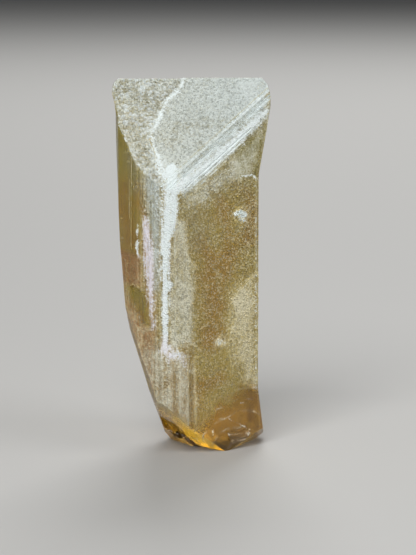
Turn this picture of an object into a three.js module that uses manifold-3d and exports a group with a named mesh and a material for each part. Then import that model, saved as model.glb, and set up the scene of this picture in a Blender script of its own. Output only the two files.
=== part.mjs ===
// A single danburite crystal: one stout, chisel-tipped prism that broke off its matrix.
//
// The crystal stands on the break, with its c axis along +Z, and all sizes are in millimetres.
// The origin is on the surface it stands on, under the middle of its box. -Y is the side that
// shows best: a broad frosted prism face to the right, a narrow bright bevel left of the middle,
// striated faces turning away to the left, and the large sloping dome face at the top.
//
// The body is a striated prism. A slightly wider cap grew over its top end, thin growth plates
// and laths lie on its faces, the lower left was broken away, and chips surround the foot.

import * as THREE from "three";
import { mergeVertices } from "three/addons/utils/BufferGeometryUtils.js";
import Module from "manifold-3d";

const wasm = await Module();
wasm.setup();

// Driving dimensions
const RIDGE_HEIGHT = 62.8; // from the foot to the straight ridge of the tip
const DOME_SLOPE = THREE.MathUtils.degToRad(54.7); // of both dome faces, from the horizontal
const CAP_FOOT = 46.6; // where the cap starts to lean out over the right side
const TERRACE = 0.13; // height of the growth step that crosses the front dome face
const REACH = 160; // larger than the crystal, for cutting tools
const SINK = 0.6; // how deep a plate or lath is rooted in its face
const UP = new THREE.Vector3(0, 0, 1);
const CORE = new THREE.Vector3(0, 0, RIDGE_HEIGHT / 2); // a point that every cut leaves in place

// The prism's corners seen from above, anticlockwise from the left end of the front bevel
const CORNER = {
  frontLeft: [-5.2, -11.75],
  frontRight: [-2.6, -11.9],
  right: [11.0, -3.6],
  sideFront: [11.4, -2.9],
  sideBack: [11.2, 6.0],
  backRight: [6.0, 11.3],
  backLeft: [3.2, 11.8],
  leftBack: [-11.9, 2.6],
  leftSide: [-12.6, -2.0],
  leftFront: [-12.1, -5.2],
  leftOuter: [-9.25, -9.2],
  leftInner: [-7.4, -10.5],
};

// The cap's corners, which stand out to the right of the prism's
const CAP_CORNER = {
  ...CORNER,
  right: [13.0, -2.6],
  sideFront: [13.45, -1.8],
  sideBack: [13.4, 4.4],
  backRight: [6.6, 11.4],
};

// The number of furrows on the side that starts at each corner, and how deep they are
const STRIATION = {
  frontLeft: [3, 0.03],
  frontRight: [8, 0.02],
  right: [1, 0],
  sideFront: [8, 0.07],
  sideBack: [15, 0.1],
  backRight: [3, 0.05],
  backLeft: [20, 0.09],
  leftBack: [7, 0.09],
  leftSide: [3, 0.05],
  leftFront: [7, 0.05],
  leftOuter: [6, 0.1],
  leftInner: [7, 0.1],
};

// The plane that the left side follows down from the cap
const LEFT_TAPER = { point: [-12.45, 0, 50.7], normal: [-0.999, 0, -0.038] };

// Points on the broken foot: where the fracture starts on the faces, where it folds, and the
// rim of the small flat that the crystal stands on
const FOOT = {
  startLeft: [-4.4, -11.6, 7.9],
  startMiddle: [0.0, -10.3, 4.9],
  startRight: [1.8, -9.2, 3.5],
  foldLeft: [-4.3, -0.4, 2.2],
  foldRight: [0.7, -6.5, 1.8],
  restLeft: [-2.6, 1.0, 0],
  restFront: [1.3, -3.3, 0],
  restTip: [6.1, -6.5, 0],
  restRight: [9.7, 0.3, 0],
  flareTip: [12.25, -1.0, 2.6],
};

// A repeatable stream of numbers from 0 to 1
function stream(seed) {
  let state = seed;
  return () => {
    state = (state * 1664525 + 1013904223) % 4294967296;
    return state / 4294967296;
  };
}

function range(count) {
  return Array.from({ length: count }, (_, i) => i);
}

// A closed three.js geometry, placed by a matrix, as a solid that can be joined and cut
function solid(geometry, matrix = new THREE.Matrix4()) {
  const bare = geometry.clone().applyMatrix4(matrix);
  bare.deleteAttribute("normal");
  bare.deleteAttribute("uv");
  const closed = mergeVertices(bare, 1e-4);
  return new wasm.Manifold(
    new wasm.Mesh({
      numProp: 3,
      vertProperties: closed.attributes.position.array,
      triVerts: new Uint32Array(closed.index.array),
    }),
  );
}

function geometryOf(body) {
  const mesh = body.getMesh();
  const geometry = new THREE.BufferGeometry();
  geometry.setAttribute("position", new THREE.BufferAttribute(mesh.vertProperties, 3));
  geometry.setIndex(new THREE.BufferAttribute(mesh.triVerts, 1));
  return geometry;
}

function joined(body, pieces) {
  return pieces.reduce((whole, piece) => whole.add(piece), body);
}

function cutAll(body, tools) {
  return tools.reduce((rest, tool) => rest.subtract(tool), body);
}

// An outline of two coordinates, drawn out along the third one
function extruded(points, depth) {
  const shape = new THREE.Shape(points.map(([x, y]) => new THREE.Vector2(x, y)));
  return new THREE.ExtrudeGeometry(shape, { depth, bevelEnabled: false });
}

// An upright prism on an outline seen from above
function prism(points, low, high) {
  return solid(extruded(points, high - low), new THREE.Matrix4().makeTranslation(0, 0, low));
}

// A bar along Y on an outline of x and z
function barAlongY(points, near, far) {
  const turn = new THREE.Matrix4().makeRotationX(Math.PI / 2);
  const place = new THREE.Matrix4().makeTranslation(0, far, 0);
  return solid(extruded(points, far - near), place.multiply(turn));
}

// Takes off everything beyond the plane through a point, with its outward normal
function trim(body, point, normal) {
  const outward = new THREE.Vector3(...normal).normalize();
  const facing = new THREE.Quaternion().setFromUnitVectors(UP, outward);
  const centre = new THREE.Vector3(...point).addScaledVector(outward, REACH / 2);
  const place = new THREE.Matrix4().compose(centre, facing, new THREE.Vector3(1, 1, 1));
  return body.subtract(solid(new THREE.BoxGeometry(REACH, REACH, REACH), place));
}

// The same, with the plane given by three points and the crystal's core kept
function trimThrough(body, a, b, c) {
  const [pa, pb, pc] = [a, b, c].map((p) => new THREE.Vector3(...p));
  const normal = new THREE.Vector3().crossVectors(pb.clone().sub(pa), pc.sub(pa));
  if (normal.dot(CORE.clone().sub(pa)) > 0) {
    normal.negate();
  }
  return trim(body, a, normal.toArray());
}

// Takes off everything beyond a plane, and leaves ribs on it that run along the grain
function splinter(body, { point, normal, ribs, relief, seed }) {
  const random = stream(seed);
  const outward = new THREE.Vector3(...normal).normalize();
  const across = new THREE.Vector3().crossVectors(UP, outward).normalize();
  const grain = new THREE.Vector3().crossVectors(outward, across);
  const width = 30;
  const teeth = range(ribs + 1).map((i) => [
    width * ((i + (i % ribs ? 0.5 * (random() - 0.5) : 0)) / ribs - 0.5),
    relief * (2 * random() - 1),
  ]);
  const outline = [...teeth, [width / 2, 20], [-width / 2, 20]];
  const basis = new THREE.Matrix4().makeBasis(across, outward, grain.clone().negate());
  const start = new THREE.Vector3(...point).addScaledVector(grain, REACH / 2);
  return body.subtract(solid(extruded(outline, REACH), basis.setPosition(start)));
}

// A face's own frame: u runs to the right as seen from outside, v runs up it, n stands out of it
function frameOf(origin, u, v) {
  return { origin, u, v, n: new THREE.Vector3().crossVectors(u, v).normalize() };
}

function sideFrame([ax, ay], [bx, by]) {
  const u = new THREE.Vector3(bx - ax, by - ay, 0).normalize();
  return frameOf(new THREE.Vector3(ax, ay, 0), u, UP);
}

// side is 1 for the front dome face and -1 for the back one
function domeFrame(side) {
  const u = new THREE.Vector3(side, 0, 0);
  const v = new THREE.Vector3(0, side * Math.cos(DOME_SLOPE), Math.sin(DOME_SLOPE));
  return frameOf(new THREE.Vector3(0, 0, RIDGE_HEIGHT), u, v);
}

const FACE = {
  frontBevel: sideFrame(CORNER.frontLeft, CORNER.frontRight),
  rightFront: sideFrame(CORNER.frontRight, CORNER.right),
  rightSide: sideFrame(CORNER.sideFront, CORNER.sideBack),
  backRight: sideFrame(CORNER.sideBack, CORNER.backRight),
  backLeft: sideFrame(CORNER.backLeft, CORNER.leftBack),
  leftSide: sideFrame(CORNER.leftBack, CORNER.leftSide),
  leftOuter: sideFrame(CORNER.leftFront, CORNER.leftOuter),
  leftInner: sideFrame(CORNER.leftOuter, CORNER.frontLeft),
  leftTurn: sideFrame(CORNER.leftFront, CORNER.leftInner),
  frontDome: domeFrame(1),
  backDome: domeFrame(-1),
};

function at(x, y, z) {
  return new THREE.Vector3(x, y, z);
}

function onFace(face, u, v, out = 0) {
  const point = face.origin.clone().addScaledVector(face.u, u).addScaledVector(face.v, v);
  return point.addScaledVector(face.n, out);
}

// A flat growth plate with an outline in the face's own u and v, standing out by its thickness
function plate(face, outline, thickness, sink = SINK) {
  const basis = new THREE.Matrix4().makeBasis(face.u, face.v, face.n);
  return solid(extruded(outline, thickness + sink), basis.setPosition(onFace(face, 0, 0, -sink)));
}

// A pocket of the same kind, to be taken out of the face
function pocket(face, outline, depth) {
  return plate(face, outline, SINK, depth);
}

// A low rib with sloping flanks that runs up a face and fades out at its top end
function rib(face, { u, width, low, high, thickness, fade }) {
  const section = [
    [-width / 2, -SINK], [width / 2, -SINK], [width / 2, 0], [width * 0.3, thickness],
    [-width * 0.3, thickness], [-width / 2, 0],
  ];
  const basis = new THREE.Matrix4().makeBasis(face.u, face.n, face.v.clone().negate());
  const bar = solid(extruded(section, high - low), basis.setPosition(onFace(face, u, high)));
  const slope = face.n.clone().multiplyScalar(fade / thickness).add(face.v);
  return trim(bar, onFace(face, u, high).toArray(), slope.toArray());
}

// A V-shaped furrow between two points, open towards the outside
function furrow(from, to, outward, halfWidth, depth) {
  const along = to.clone().sub(from);
  const length = along.length();
  along.normalize();
  const across = new THREE.Vector3().crossVectors(outward, along).normalize();
  const square = new THREE.Vector3().crossVectors(along, across);
  const section = [[0, -depth], [halfWidth, 0], [halfWidth, 2], [-halfWidth, 2], [-halfWidth, 0]];
  const basis = new THREE.Matrix4().makeBasis(across, square, along).setPosition(from);
  return solid(extruded(section, length), basis);
}

// A shell-shaped chip: a shallow oval dish with rings that crowd towards its lower rim, where
// the blow fell. drop is how far below the middle its deepest point lies.
function dish(point, outward, { radius, depth, height = 1, rings = 4, drop = 0 }) {
  const steps = range(rings * 2 + 1).map((i) => {
    const share = i / (rings * 2);
    const wave = i % 2 ? 0.04 * depth : 0;
    return new THREE.Vector2(radius * share, -depth * (1 - share * share) - wave);
  });
  const lid = [new THREE.Vector2(radius, 0.01), new THREE.Vector2(radius, 1.5), new THREE.Vector2(0, 1.5)];
  const tool = new THREE.LatheGeometry([...steps.slice(0, -1), ...lid], 20);
  tool.applyMatrix4(new THREE.Matrix4().makeShear(0, 0, 0, drop / depth, 0, 0));
  const out = outward.clone().normalize();
  const across = new THREE.Vector3().crossVectors(out, UP).normalize();
  const rise = new THREE.Vector3().crossVectors(across, out).multiplyScalar(height);
  return solid(tool, new THREE.Matrix4().makeBasis(across, out, rise).setPosition(point));
}

// An outline with its straight stretches broken into short ragged ones
function ragged(outline, spacing, rough, seed) {
  const random = stream(seed);
  return outline.flatMap(([ax, ay], i) => {
    const [bx, by] = outline[(i + 1) % outline.length];
    const length = Math.hypot(bx - ax, by - ay);
    const pieces = Math.max(1, Math.round(length / spacing));
    return range(pieces).map((k) => {
      const share = k ? (k + 0.5 * (random() - 0.5)) / pieces : 0;
      const off = k ? rough * (2 * random() - 1) : 0;
      return [
        ax + (bx - ax) * share - ((by - ay) / length) * off,
        ay + (by - ay) * share + ((bx - ax) / length) * off,
      ];
    });
  });
}

// A round outline with a slightly uneven rim
function blot(u, v, radius, points, seed) {
  const random = stream(seed);
  return range(points).map((i) => {
    const angle = (2 * Math.PI * i) / points;
    const r = radius * (0.82 + 0.36 * random());
    return [u + r * Math.cos(angle), v + r * Math.sin(angle)];
  });
}

// A narrow upright lath with a chisel tip at both ends
function lathOutline(u, width, low, high) {
  return [
    [u - width * 0.5, low + width * 1.2],
    [u + width * 0.1, low],
    [u + width * 0.5, low + width],
    [u + width * 0.5, high - width * 1.2],
    [u - width * 0.15, high],
    [u - width * 0.5, high - width * 0.85],
  ];
}

// Laths that grew side by side on a face, rooted in it, each with its own height and tips
function laths(face, row, seed) {
  const random = stream(seed);
  return range(row.count).map(() => {
    const width = row.width * (0.5 + random());
    const u = row.from + (row.to - row.from) * random();
    const low = row.low + (row.high - row.low) * 0.75 * random();
    const high = Math.min(row.high, low + row.height * (0.35 + 0.65 * random()));
    const thickness = row.thickness * (0.4 + 0.6 * random());
    return plate(face, lathOutline(u, width, low, high), thickness);
  });
}

// The outline of a prism whose sides carry shallow furrows that run the whole height
function striatedOutline(corners, seed) {
  const random = stream(seed);
  const names = Object.keys(corners);
  return names.flatMap((name, i) => {
    const [ax, ay] = corners[name];
    const [bx, by] = corners[names[(i + 1) % names.length]];
    const length = Math.hypot(bx - ax, by - ay);
    const [furrows, relief] = STRIATION[name];
    return range(furrows).map((k) => {
      const share = k ? (k + 0.6 * (random() - 0.5)) / furrows : 0;
      const off = k ? relief * (k % 2 ? 0.9 : -0.5) * (0.35 + 0.65 * random()) : 0;
      return [
        ax + (bx - ax) * share + ((by - ay) / length) * off,
        ay + (by - ay) * share - ((bx - ax) / length) * off,
      ];
    });
  });
}

// The laths that stand out of the striated sides: between which distances along the side and
// which heights they lie, the tallest and thickest that one can be, and how wide they usually are
const LATH_ROWS = {
  leftInner: { count: 5, from: 2.4, to: 4.4, low: 12, high: 50, height: 24, width: 0.5, thickness: 0.2 },
  leftOuter: { count: 3, from: 3.2, to: 4.6, low: 28, high: 52, height: 18, width: 0.5, thickness: 0.14 },
  backLeft: { count: 10, from: 1.2, to: 15.4, low: 8, high: 51, height: 46, width: 1.1, thickness: 0.15 },
  backRight: { count: 7, from: 0.8, to: 6.4, low: 7, high: 51, height: 48, width: 0.8, thickness: 0.13 },
  rightSide: { count: 7, from: 0.8, to: 8.1, low: 12, high: 45, height: 40, width: 0.7, thickness: 0.1 },
  leftSide: { count: 3, from: 0.6, to: 2.4, low: 26, high: 54, height: 30, width: 0.6, thickness: 0.1 },
};

function prismWithLaths() {
  const body = prism(striatedOutline(CORNER, 11), -1, RIDGE_HEIGHT + 1);
  const rows = Object.entries(LATH_ROWS);
  return joined(body, rows.flatMap(([name, row], i) => laths(FACE[name], row, 3 + 7 * i)));
}

// Broad, thin plates on the large frosted face, and the two blunt columns at its lower left
function frostedFaceGrowth(body) {
  const face = FACE.rightFront;
  const lobed = [
    [16.2, 30.5], [14.4, 29.2], [12.6, 27.6], [11.0, 26.0], [11.9, 22.8], [10.5, 20.1],
    [10.3, 17.2], [11.3, 13.6], [12.6, 12.9], [13.4, 11.6], [14.6, 11.0], [16.2, 10.9],
  ];
  const besideBevel = [
    [-0.2, 41.0], [1.0, 39.8], [2.1, 35.3], [3.2, 33.0], [3.8, 31.8], [3.2, 29.0],
    [3.6, 26.7], [3.0, 23.5], [2.9, 19.2], [-0.2, 19.0],
  ];
  const columns = [
    rib(FACE.frontBevel, { u: 1.15, width: 2.3, low: 0, high: 22, thickness: 0.3, fade: 8 }),
    rib(face, { u: 1.6, width: 2.6, low: 0, high: 21.5, thickness: 0.34, fade: 7 }),
    rib(face, { u: 5.4, width: 3.2, low: 0, high: 17, thickness: 0.12, fade: 9 }),
  ];
  const grooves = [
    furrow(onFace(face, 0.1, 0), onFace(face, 0.0, 15), face.n, 0.6, 0.34),
    furrow(onFace(face, 3.4, 0), onFace(face, 3.15, 19), face.n, 0.6, 0.22),
  ];
  const grown = joined(body, [
    plate(face, ragged(lobed, 0.8, 0.16, 71), 0.2),
    plate(face, ragged(besideBevel, 0.9, 0.14, 72), 0.17),
    plate(face, blot(8.9, 19.1, 1.0, 10, 73), 0.16),
    plate(face, blot(5.6, 46.0, 0.6, 8, 74), 0.1),
    ...columns,
  ]);
  return cutAll(grown, grooves);
}

// A tight cluster of tiny wedge-tipped crystals on the frosted face
function crystallets() {
  const face = FACE.rightFront;
  const random = stream(90);
  const along = new THREE.Vector3(0, 1, 0);
  return range(26).map(() => {
    const angle = 2 * Math.PI * random();
    const out = 1.15 * Math.sqrt(random());
    const size = 0.42 + 0.36 * random();
    const lean = new THREE.Vector3(random() - 0.5, 0, random() - 0.5).multiplyScalar(0.9).add(face.n);
    const turn = new THREE.Quaternion().setFromUnitVectors(along, lean.normalize());
    turn.multiply(new THREE.Quaternion().setFromAxisAngle(along, random() * 3));
    const centre = onFace(face, 12.7 + out * Math.cos(angle), 40.3 + out * Math.sin(angle), size * 0.2);
    const place = new THREE.Matrix4().compose(centre, turn, new THREE.Vector3(1, 1, 1));
    return solid(new THREE.ConeGeometry(size * 0.75, size * 1.1, 4), place);
  });
}

// The ledge and the flakes on the left faces, and the sunken window between them
function leftLedges(body) {
  const ledge = [
    [1.1, 41.9], [1.35, 38.0], [1.5, 34.0], [1.8, 30.0], [2.1, 26.5], [2.5, 23.5], [3.0, 21.5],
    [3.5, 21.8], [3.3, 25.0], [3.1, 29.0], [3.0, 33.0], [2.9, 37.0], [2.0, 39.0], [1.6, 41.5],
  ];
  const edgeLath = [[1.0, 33.4], [0.7, 31.0], [0.8, 21.0], [1.9, 20.0], [2.5, 22.0], [2.4, 33.0]];
  const window = [
    [3.0, 28.6], [3.1, 24.5], [3.6, 23.3], [5.2, 22.0], [6.6, 21.4], [6.9, 22.6], [6.6, 26.8],
    [6.0, 28.4], [4.2, 29.0],
  ];
  const grown = joined(body, [
    plate(FACE.leftInner, ragged(ledge, 0.9, 0.1, 81), 0.34),
    plate(FACE.leftInner, blot(0.5, 38.2, 0.4, 7, 83), 0.2),
    plate(FACE.leftInner, blot(0.35, 35.6, 0.45, 7, 84), 0.24),
    plate(FACE.leftOuter, ragged(edgeLath, 2, 0.06, 82), 0.16),
  ]);
  const bright = FACE.leftInner;
  return cutAll(grown, [
    pocket(FACE.leftTurn, window, 0.12),
    furrow(onFace(bright, 3.25, 35, 0.1), onFace(bright, 3.2, 52, 0.1), bright.n, 0.16, 0.3),
    furrow(onFace(bright, 1.9, 42, 0.1), onFace(bright, 1.85, 54, 0.1), bright.n, 0.14, 0.26),
  ]);
}

// The wider cap that grew over the tip and leans out over the right side
function cap() {
  const face = sideFrame(CAP_CORNER.frontRight, CAP_CORNER.right);
  const rim = onFace(FACE.rightFront, 13, CAP_FOOT);
  const leaning = face.n.clone().multiplyScalar(0.985).addScaledVector(UP, -0.17);
  let head = prism(striatedOutline(CAP_CORNER, 29), CAP_FOOT - 3, RIDGE_HEIGHT + 1);
  head = trim(head, [11.3, 0, CAP_FOOT], [0.984, 0, -0.178]);
  head = trim(head, rim.toArray(), leaning.toArray());
  head = trim(head, [11.2, 6.0, CAP_FOOT], [0.69, 0.7, -0.17]);
  head = trim(head, LEFT_TAPER.point, LEFT_TAPER.normal);
  return head.add(leftEar());
}

// The small rounded ear at the left end of the ridge
function leftEar() {
  const profile = [
    [-10.5, 63.4], [-11.7, 63.4], [-12.3, 62.6], [-12.9, 62.0], [-13.24, 61.2], [-13.25, 60.4],
    [-12.8, 58.8], [-12.4, 56.8], [-10.5, 54.5],
  ];
  const ear = barAlongY(profile, -4.4, 3.4);
  return trim(ear, [-12.9, -2.8, 60], [-0.86, -0.5, 0]);
}

// The two dome faces that meet in the ridge, and the rounding of the ridge's right end
function cutTip(body) {
  const front = FACE.frontDome;
  const back = FACE.backDome;
  let tip = trim(body, front.origin.toArray(), front.n.toArray());
  tip = trim(tip, back.origin.toArray(), back.n.toArray());
  tip = trim(tip, [13.36, 0, 58], [1, 0, 0]);
  tip = trim(tip, [13.35, 0, 59.9], [0.964, 0, 0.266]);
  tip = trim(tip, [12.9, 0, 61.6], [0.757, 0, 0.653]);
  return tip;
}

// The edge between the front dome face and the cap's large face, before it is bevelled
function shoulderEdge() {
  const [x, y] = CAP_CORNER.frontRight;
  const side = sideFrame(CAP_CORNER.frontRight, CAP_CORNER.right);
  const dome = FACE.frontDome;
  const along = new THREE.Vector3().crossVectors(dome.n, side.n).normalize();
  along.multiplyScalar(Math.sign(along.x));
  return {
    start: new THREE.Vector3(x, y, RIDGE_HEIGHT + y * Math.tan(DOME_SLOPE)),
    along,
    upDome: new THREE.Vector3().crossVectors(dome.n, along).normalize(),
    downSide: new THREE.Vector3().crossVectors(along, side.n).normalize(),
    dome,
    side,
  };
}

// The stepped bevel along that edge, with the dark groove in it and fine striae below
function bevelShoulder(body) {
  const edge = shoulderEdge();
  const steps = [
    { up: 2.35, down: 0.2 },
    { up: 1.3, down: 0.4 },
    { up: 0.6, down: 0.8 },
    { up: 0.3, down: 1.15 },
  ];
  const bevelled = steps.reduce((rest, { up, down }) => {
    const above = edge.start.clone().addScaledVector(edge.upDome, up);
    const below = edge.start.clone().addScaledVector(edge.downSide, down);
    return trimThrough(rest, above.toArray(), above.clone().add(edge.along).toArray(), below.toArray());
  }, body);
  const onDome = [
    { shift: 1.75, sunk: 0.05, half: 0.14, depth: 0.1 },
    { shift: 0.85, sunk: 0.12, half: 0.28, depth: 0.24 },
    { shift: 0.35, sunk: 0.2, half: 0.16, depth: 0.14 },
  ].map(({ shift, sunk, half, depth }) => {
    const from = edge.start.clone().addScaledVector(edge.upDome, shift);
    from.addScaledVector(edge.dome.n, -sunk).addScaledVector(edge.along, -2);
    return furrow(from, from.clone().addScaledVector(edge.along, 26), edge.dome.n, half, depth);
  });
  const onSide = [
    { shift: 1.55, half: 0.16, depth: 0.14, from: 1.2, to: 17 },
    { shift: 2.15, half: 0.14, depth: 0.11, from: 2.0, to: 14 },
    { shift: 2.75, half: 0.12, depth: 0.08, from: 2.5, to: 10 },
  ].map(({ shift, half, depth, from, to }) => {
    const line = edge.start.clone().addScaledVector(edge.downSide, shift);
    const near = line.clone().addScaledVector(edge.along, from);
    const far = line.clone().addScaledVector(edge.along, to);
    return furrow(near, far, edge.side.n, half, depth);
  });
  return cutAll(bevelled, [...onDome, ...onSide]);
}

// The growth step that crosses the front dome face, whose left part lies lower, and thin plates
function domeSteps(body) {
  const lowerPart = [
    [-1.4, 1.0], [-1.5, -0.6], [-2.6, -2.7], [-4.3, -4.2], [-5.4, -7.0], [-6.7, -9.9], [-6.9, -11.4],
    [-6.2, -13.6], [-5.9, -14.8], [-6.6, -16.5], [-8.0, -20.0], [-15.0, -20.0], [-15.0, 1.0],
  ];
  const blob = [
    [-5.9, -14.4], [-4.9, -14.8], [-4.0, -15.6], [-3.4, -17.2], [-3.2, -18.4], [-4.6, -19.2], [-6.0, -17.6],
  ];
  const backPlate = [
    [-10.4, -0.5], [-9.6, -3.2], [-4.6, -11.6], [-2.2, -13.4], [0.4, -11.2], [3.0, -8.6], [3.4, -6.4],
    [5.8, -4.0], [6.0, -0.5],
  ];
  const front = FACE.frontDome;
  const back = FACE.backDome;
  const stepped = body.subtract(pocket(front, ragged(lowerPart, 0.8, 0.14, 61).reverse(), TERRACE));
  return joined(stepped, [
    plate(front, blob.reverse(), 0.12),
    plate(back, ragged(backPlate, 1.6, 0.1, 63), 0.14),
  ]);
}

// The left side tapers downwards, and its lower part was broken away along the grain
function cutLeft(body) {
  let cut = trim(body, LEFT_TAPER.point, LEFT_TAPER.normal);
  cut = trim(cut, [-11.85, 0, 35.4], [-0.997, 0, -0.075]);
  cut = splinter(cut, {
    point: [-10.85, -3, 23.0], normal: [-0.95, -0.12, -0.29], ribs: 26, relief: 0.14, seed: 41,
  });
  cut = splinter(cut, {
    point: [-6.85, -6, 10.3], normal: [-0.93, -0.12, -0.345], ribs: 22, relief: 0.1, seed: 43,
  });
  return trim(cut, [-9.4, 3.5, 14], [-0.8, 0.5, -0.33]);
}

// The flare at the foot of the right side, narrow where it meets the large face
function rightFlare() {
  const outline = [[8, -4.5], [10.95, -3.75], [12.35, -1.6], [12.4, 4.2], [10.9, 6.6], [8, 8]];
  let flare = prism(outline, -1, 11);
  flare = trim(flare, [12.27, 0, 2.6], [0.9925, 0, 0.122]);
  flare = trim(flare, [11.35, -3.0, 9.6], [0.8, -0.55, 0.24]);
  return trim(flare, [11.2, 5.4, 9.6], [0.7, 0.66, 0.27]);
}

// The fracture under the foot: flat cleavages, shell-shaped chips and the flat it stands on
function cutFoot(body) {
  const f = FOOT;
  const face = FACE.rightFront;
  let foot = trimThrough(body, f.startLeft, f.startMiddle, f.foldRight);
  foot = trimThrough(foot, f.foldLeft, f.foldRight, f.restLeft);
  foot = trimThrough(foot, f.startRight, f.restFront, f.restTip);
  foot = trimThrough(foot, f.restTip, f.restRight, f.flareTip);
  foot = trim(foot, [10.4, 5.0, 0], [0.66, 0.3, -0.7]);
  foot = trim(foot, [6.0, 9.0, 0], [0.35, 0.7, -0.62]);
  foot = trim(foot, [-1.2, 8.8, 0], [-0.35, 0.72, -0.6]);
  foot = trim(foot, [-3.0, 6.0, 0], [-0.86, 0.1, -0.5]);
  const flake = [[10.3, 3.3], [10.9, 1.5], [12.6, 1.9], [14.9, 2.2], [14.2, 3.5], [12.4, 3.0]];
  foot = cutAll(foot, [
    dish(onFace(face, 14.6, 5.6), face.n, { radius: 5.2, depth: 0.42, rings: 4, drop: 3.4 }),
    dish(onFace(face, 9.8, 2.2), face.n, { radius: 4.6, depth: 0.5, rings: 4, drop: 3.4 }),
    dish(at(0.8, -5.2, 1.8), at(-0.55, -0.4, -0.73), { radius: 3.2, depth: 0.3, height: 1.3, drop: 2 }),
    dish(at(-3.4, -3.0, 4.2), at(-0.55, -0.4, -0.73), { radius: 2.2, depth: 0.22, height: 1.6, rings: 2 }),
    dish(at(-4.6, 6.8, 4.2), at(-0.86, 0.3, -0.4), { radius: 3.6, depth: 0.4, height: 1.5, drop: 2.4 }),
    dish(at(7.6, 10.2, 2.4), at(0.6, 0.7, -0.35), { radius: 4.2, depth: 0.5, height: 1.3, drop: 2.8 }),
    dish(at(-7.6, 7.6, 20), FACE.backLeft.n, { radius: 2.6, depth: 0.3, height: 2.1, rings: 2, drop: 1.5 }),
  ]);
  foot = foot.add(plate(face, flake.reverse(), -0.12, 0.9));
  return trim(foot, [0, 0, 0], [0, 0, -1]);
}

// The whole crystal, moved so that the middle of its box stands over the origin
function crystal() {
  let body = frostedFaceGrowth(prismWithLaths());
  body = leftLedges(body.add(rightFlare()));
  body = cutTip(cutLeft(body).add(cap()));
  body = bevelShoulder(domeSteps(body));
  body = cutFoot(joined(body, crystallets()));
  const box = body.boundingBox();
  const middle = [0, 1].map((axis) => (box.min[axis] + box.max[axis]) / 2);
  return body.translate([-middle[0], -middle[1], -box.min[2]]);
}

const danburite = new THREE.MeshStandardMaterial({ color: 0xb0a06a, roughness: 0.45, metalness: 0 });
const mesh = new THREE.Mesh(geometryOf(crystal()), danburite);
mesh.name = "danburite_crystal";

const part = new THREE.Group();
part.add(mesh);

export default part;
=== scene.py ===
# %% [markdown]
# # A danburite crystal that stands on its broken end
#
# The object is one natural crystal of danburite, a calcium borosilicate: a stout prism with a
# chisel-shaped tip. Its grown faces were etched in the ground, so they are frosted like sugar, and
# its foot is a fresh break, so it is clear and honey-coloured. The solid with the true size and the
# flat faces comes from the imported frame. This lesson gives that solid its etched relief and its
# finish, and puts it on a pale floor in soft light.
# %% Load the frame
import math

import bmesh
import bpy
import numpy as np
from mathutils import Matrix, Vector
from mathutils.geometry import delaunay_2d_cdt
from mathutils.kdtree import KDTree


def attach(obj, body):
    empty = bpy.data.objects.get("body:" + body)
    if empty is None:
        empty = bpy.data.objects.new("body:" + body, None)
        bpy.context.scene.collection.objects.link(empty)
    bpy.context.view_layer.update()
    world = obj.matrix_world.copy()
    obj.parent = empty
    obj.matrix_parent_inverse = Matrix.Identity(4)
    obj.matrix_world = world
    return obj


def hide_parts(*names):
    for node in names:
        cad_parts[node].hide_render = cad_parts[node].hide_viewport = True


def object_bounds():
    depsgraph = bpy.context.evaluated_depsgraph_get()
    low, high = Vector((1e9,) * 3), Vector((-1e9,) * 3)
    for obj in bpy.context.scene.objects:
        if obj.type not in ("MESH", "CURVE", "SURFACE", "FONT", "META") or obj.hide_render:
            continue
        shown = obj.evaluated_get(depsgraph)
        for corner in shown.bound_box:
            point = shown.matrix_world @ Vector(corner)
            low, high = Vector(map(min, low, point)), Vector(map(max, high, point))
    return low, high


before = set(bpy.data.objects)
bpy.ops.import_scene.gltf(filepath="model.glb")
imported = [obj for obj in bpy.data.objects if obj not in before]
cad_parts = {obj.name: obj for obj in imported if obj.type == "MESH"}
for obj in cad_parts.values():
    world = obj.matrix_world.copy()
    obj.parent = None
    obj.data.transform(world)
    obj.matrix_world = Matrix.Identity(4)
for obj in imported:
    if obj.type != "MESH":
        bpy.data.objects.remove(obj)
cad_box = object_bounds()
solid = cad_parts["danburite_crystal"]
MM = 0.001
height_mm = cad_box[1][2] / MM
print("the solid has", len(solid.data.polygons), "triangles and is", round(height_mm, 1), "mm tall")

# %% [markdown]
# ## The camera
#
# The crystal is seen from the front, from a little above, through a long lens, so that its upright
# edges stay nearly parallel. A camera can be placed by hand, but then its angle is hard to change.
# Here its place follows from a distance and an angle, and the lens from how tall the crystal has
# to be in the picture. Distances are in metres and the lens is in millimetres.
# %% Set the camera
CAMERA_DISTANCE = 0.42
CAMERA_RISE = math.radians(10)
CAMERA_LENS = 160.3
NEAREST_SEEN = 0.01
AIM = Vector((0.0028, 0, 0.0288))

view_line = Vector((0, math.cos(CAMERA_RISE), -math.sin(CAMERA_RISE)))
camera = bpy.data.objects.new("camera", bpy.data.cameras.new("camera"))
bpy.context.scene.collection.objects.link(camera)
camera.data.lens = CAMERA_LENS
camera.data.clip_start = NEAREST_SEEN
camera.location = AIM - CAMERA_DISTANCE * view_line
camera.rotation_euler = (math.pi / 2 - CAMERA_RISE, 0, 0)
bpy.context.scene.camera = camera
print("the camera is at", [round(c, 3) for c in camera.location])

# %% [markdown]
# ## An even mesh of the solid
#
# The frame's mesh has long thin triangles, which can't take a relief. Remeshing it with voxels
# would round every edge of the crystal, and splitting the thin triangles would give a million
# thinner ones. Here the triangles that lie in one plane are first gathered into a flat region.
# Each region's rim is then divided into short steps, its inside is strewn with points on an even
# lattice, and a Delaunay triangulation joins them. Neighbours share their rim points, and a region
# that is too thin for triangles leaves a crack that is filled, so the surface is closed. Every
# corner and flat face stays where it is.
# %% Gather the flat regions
WELD_MM = 0.001
# Triangles lie in one plane if their corners are this close to it and their normals agree.
FLATNESS_MM = 0.0008
SAME_WAY = 0.9


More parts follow.
